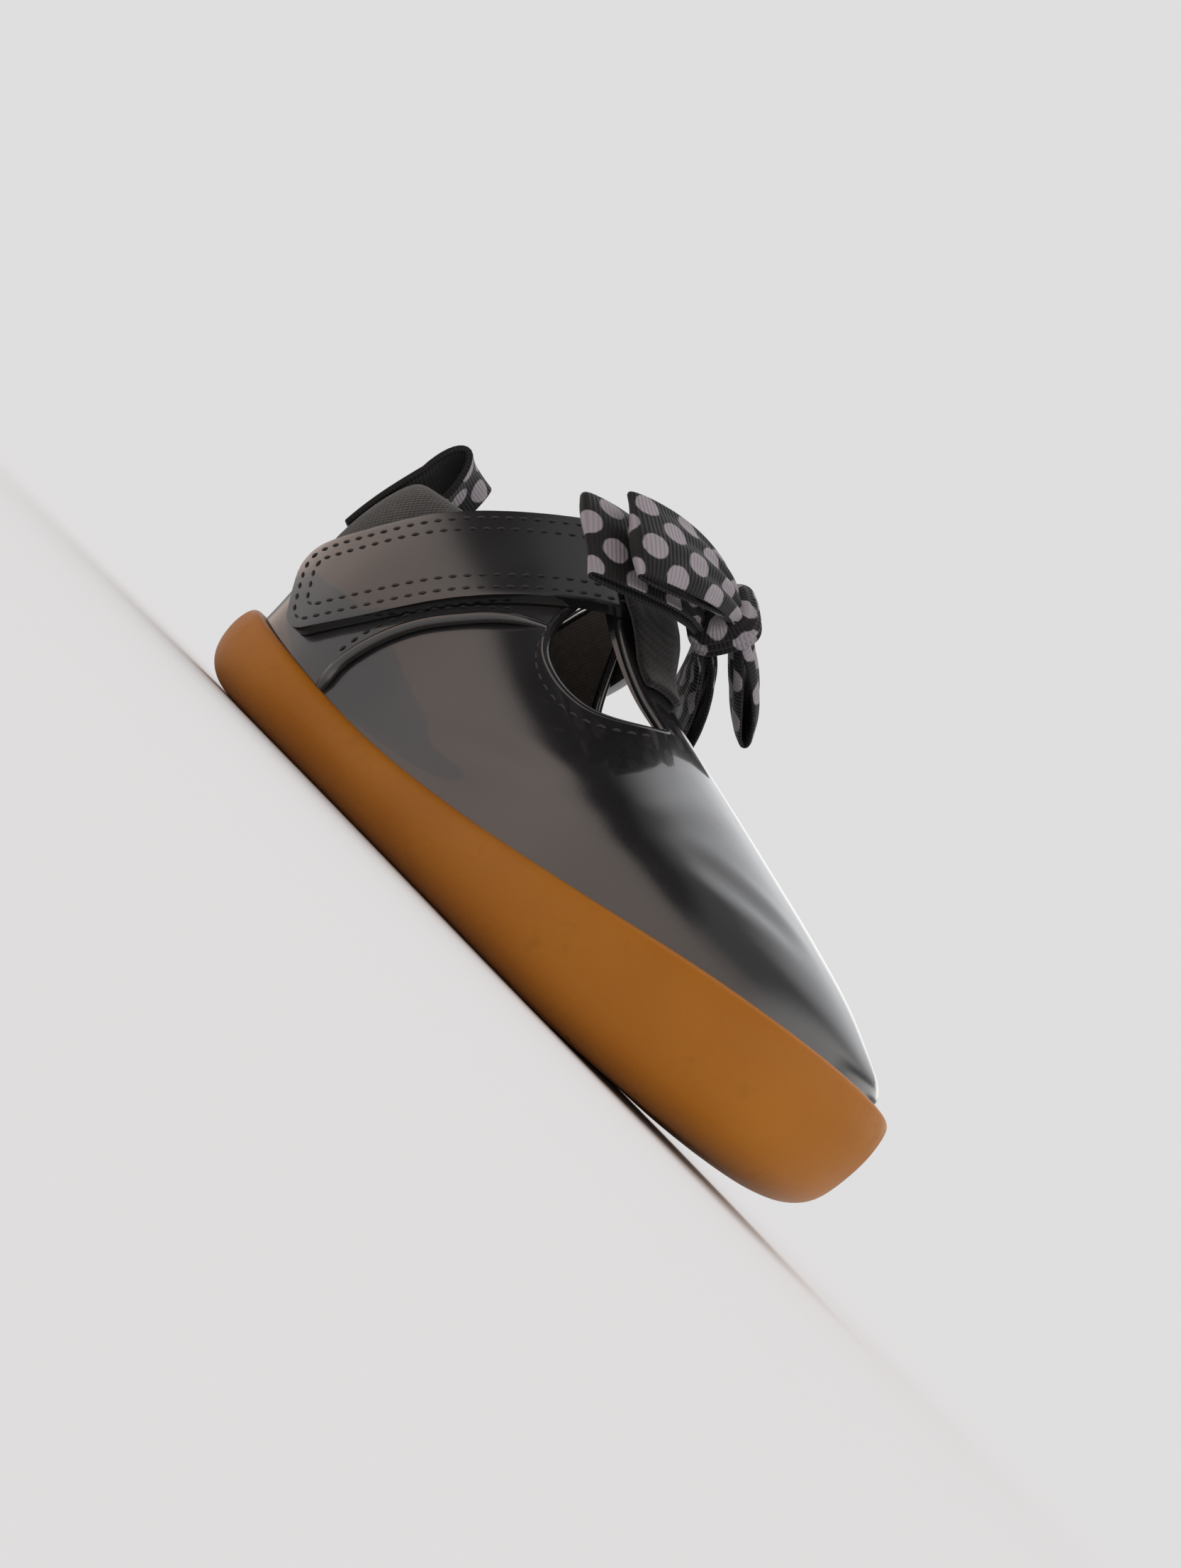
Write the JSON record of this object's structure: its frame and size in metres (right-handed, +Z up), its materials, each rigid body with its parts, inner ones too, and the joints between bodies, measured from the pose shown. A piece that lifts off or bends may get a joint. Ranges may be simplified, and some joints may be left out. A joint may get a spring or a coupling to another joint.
{
  "type": "t-bar shoe",
  "caption": "Child's t-bar shoe with a patent upper, wrap strap over the instep, spotted ribbon bow and thick gum sole",
  "frame": {"origin": "on the floor under the middle of the shoe's box", "axes": "+X from heel to toe, +Z up, -Y the side with the strap's loose end"},
  "size_m": [0.1507, 0.0616, 0.0779],
  "materials": {
    "gum_rubber": "satin amber",
    "sock": "matte",
    "patent": "high gloss",
    "collar_cloth": "matte",
    "ribbon": "satin, pale spots"
  },
  "bodies": {
    "root": {"outsole": "gum_rubber", "insole": "sock", "upper": "patent", "strap": "patent", "piping_near": "patent", "piping_far": "patent", "collar": "collar_cloth", "strap_saddle": "collar_cloth", "bow_knot": "ribbon", "bow_loop_low_near": "ribbon", "bow_loop_low_far": "ribbon", "bow_loop_top_near": "ribbon", "bow_loop_top_far": "ribbon", "pull_tab": "ribbon"}
  },
  "joints": []
}
